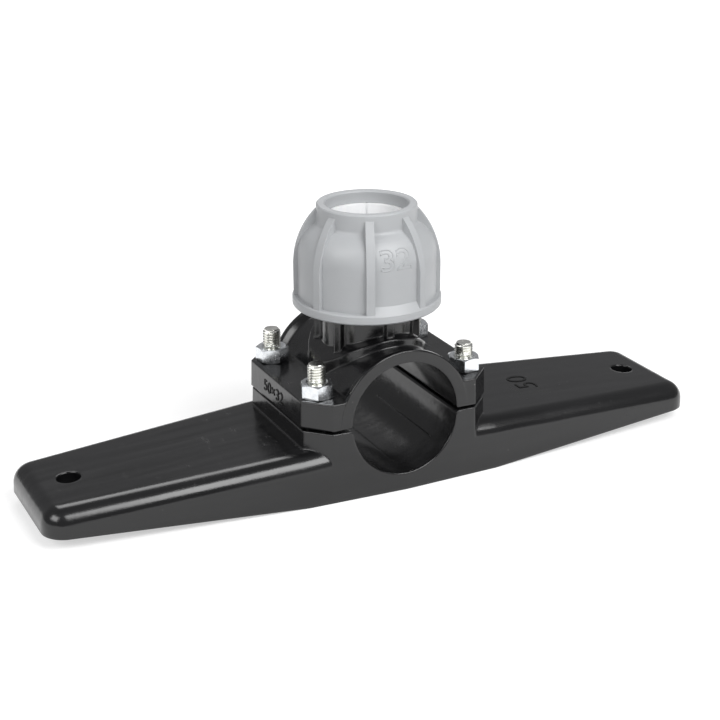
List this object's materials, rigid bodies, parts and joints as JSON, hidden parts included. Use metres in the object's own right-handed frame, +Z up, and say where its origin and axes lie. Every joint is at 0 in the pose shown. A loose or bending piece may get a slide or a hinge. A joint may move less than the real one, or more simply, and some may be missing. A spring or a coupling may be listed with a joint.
{
  "type": "tapping saddle",
  "caption": "Clamp saddle for a plastic pipe, with an upright compression branch and a long two-winged base that screws to the ground.",
  "frame": {"origin": "on the ground under the branch's axis, in the middle of the underside", "axes": "+X along the wings, +Y along the pipe bore, +Z up along the branch"},
  "size_m": [0.3142, 0.0796, 0.1193],
  "materials": {
    "black_plastic": "moulded polypropylene, black, satin",
    "grey_plastic": "moulded polypropylene, light grey, satin",
    "white_plastic": "moulded acetal, white",
    "seal_rubber": "nitrile rubber",
    "zinc_steel": "zinc-plated steel"
  },
  "bodies": {
    "base": {"base": "black_plastic", "bolt_front_left": "zinc_steel", "bolt_front_right": "zinc_steel", "bolt_back_left": "zinc_steel", "bolt_back_right": "zinc_steel"},
    "upper": {"upper_saddle": "black_plastic", "saddle_gasket": "seal_rubber", "socket_o_ring": "seal_rubber", "thrust_bush": "black_plastic"},
    "hex_nut_front_left": {"hex_nut_front_left": "zinc_steel"},
    "hex_nut_front_right": {"hex_nut_front_right": "zinc_steel"},
    "hex_nut_back_left": {"hex_nut_back_left": "zinc_steel"},
    "hex_nut_back_right": {"hex_nut_back_right": "zinc_steel"},
    "grip_ring": {"grip_ring": "white_plastic"},
    "compression_nut": {"compression_nut": "grey_plastic"}
  },
  "joints": [
    {"name": "clamp_lift", "type": "slide", "parent": "base", "child": "upper", "axis": [0, 0, 1], "range_m": [-0.0013, 0.005]},
    {"name": "front_left_nut_turn", "type": "hinge", "parent": "upper", "child": "hex_nut_front_left", "pos_m": [-0.0356, -0.0241, 0.0479], "axis": [0, 0, 1], "range_deg": [-380, 1450]},
    {"name": "front_right_nut_turn", "type": "hinge", "parent": "upper", "child": "hex_nut_front_right", "pos_m": [0.0356, -0.0241, 0.0479], "axis": [0, 0, 1], "range_deg": [-380, 1450]},
    {"name": "back_left_nut_turn", "type": "hinge", "parent": "upper", "child": "hex_nut_back_left", "pos_m": [-0.0356, 0.0241, 0.0479], "axis": [0, 0, 1], "range_deg": [-380, 1450]},
    {"name": "back_right_nut_turn", "type": "hinge", "parent": "upper", "child": "hex_nut_back_right", "pos_m": [0.0356, 0.0241, 0.0479], "axis": [0, 0, 1], "range_deg": [-380, 1450]},
    {"name": "ring_slide", "type": "slide", "parent": "upper", "child": "grip_ring", "axis": [0, 0, 1], "range_m": [-0.0043, 0.0142]},
    {"name": "compression_nut_turn", "type": "hinge", "parent": "grip_ring", "child": "compression_nut", "pos_m": [0, 0, 0.09], "axis": [0, 0, 1], "range_deg": [-380, 1260]}
  ],
  "couplings": [
    {"joint": "front_left_nut_turn", "follows": "clamp_lift", "rad_per_m": 5026.5},
    {"joint": "front_right_nut_turn", "follows": "clamp_lift", "rad_per_m": 5026.5},
    {"joint": "back_left_nut_turn", "follows": "clamp_lift", "rad_per_m": 5026.5},
    {"joint": "back_right_nut_turn", "follows": "clamp_lift", "rad_per_m": 5026.5},
    {"joint": "ring_slide", "follows": "compression_nut_turn", "m_per_rad": 0.00063662}
  ]
}
